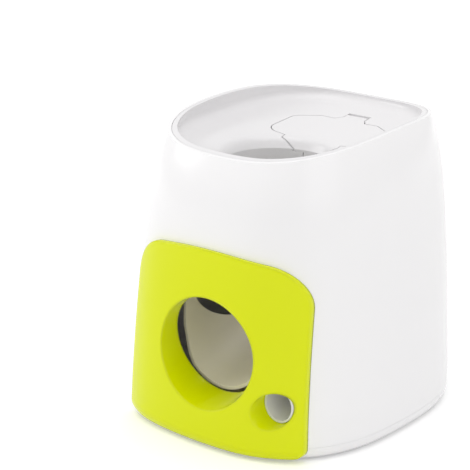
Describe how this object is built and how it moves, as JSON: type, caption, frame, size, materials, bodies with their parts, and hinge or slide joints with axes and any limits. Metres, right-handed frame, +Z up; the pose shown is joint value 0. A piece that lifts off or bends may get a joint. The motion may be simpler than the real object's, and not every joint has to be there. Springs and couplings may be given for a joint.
{
  "type": "ball-fed treat dispenser",
  "caption": "Free-standing treat dispenser for dogs: a ball dropped into the dished funnel rolls out of the front and tips a scoop that turns a dosing drum",
  "frame": {"origin": "on the floor, under the middle of the base", "axes": "+Z up, front with both exits towards -Y, +X towards the treat exit's side"},
  "size_m": [0.202, 0.2324, 0.2137],
  "materials": {
    "white_shell": "satin",
    "white_tray": "satin",
    "lime_panel": "satin",
    "cream_scoop": "matte",
    "inner_plastic": "matte",
    "gear_plastic": "matte",
    "steel": "brushed",
    "spring_steel": "polished",
    "soft_rubber": "matte",
    "wiper_rubber": "matte"
  },
  "bodies": {
    "housing": {"body_shell": "white_shell", "base_plate": "white_shell", "funnel_tray": "white_tray", "lid_hinge_pin": "steel", "front_panel": "lime_panel", "scoop_shaft": "steel", "shaft_clips": "spring_steel", "left_pivot_block": "inner_plastic", "right_pivot_block": "inner_plastic", "scoop_buffer": "soft_rubber", "drum_bushes": "gear_plastic", "drum_case": "inner_plastic", "drum_case_cap": "inner_plastic", "cap_screws": "steel", "drum_wiper": "wiper_rubber", "treat_hopper": "inner_plastic", "case_screws": "steel", "hopper_screws": "steel", "treat_chute": "white_tray", "ball_duct": "inner_plastic", "duct_screws": "steel", "rubber_feet": "soft_rubber", "base_screws": "steel", "block_screws": "steel", "tray_screws": "steel", "panel_screws": "steel"},
    "lid": {"treat_lid": "white_tray"},
    "scoop": {"ball_scoop": "cream_scoop", "sector_gear": "gear_plastic", "arm_screws": "steel", "return_spring": "spring_steel"},
    "drum": {"treat_drum": "gear_plastic", "drum_shaft": "steel", "drum_pinion": "gear_plastic"}
  },
  "joints": [
    {"name": "lid_hinge", "type": "hinge", "parent": "housing", "child": "lid", "pos_m": [0.006, 0.0626, 0.1962], "axis": [-1, 0, 0], "range_deg": [0, 100]},
    {"name": "scoop_tilt", "type": "hinge", "parent": "housing", "child": "scoop", "pos_m": [0.006, -0.0764, 0.028], "axis": [-1, 0, 0], "range_deg": [0, 12], "stiffness_Nm_per_rad": 0.09, "springref_deg": -28.65},
    {"name": "drum_turn", "type": "hinge", "parent": "housing", "child": "drum", "pos_m": [0.067, 0.02472, 0.11285], "axis": [1, 0, 0], "range_deg": [0, 120]}
  ],
  "couplings": [
    {"joint": "drum_turn", "follows": "scoop_tilt", "ratio": 10}
  ]
}
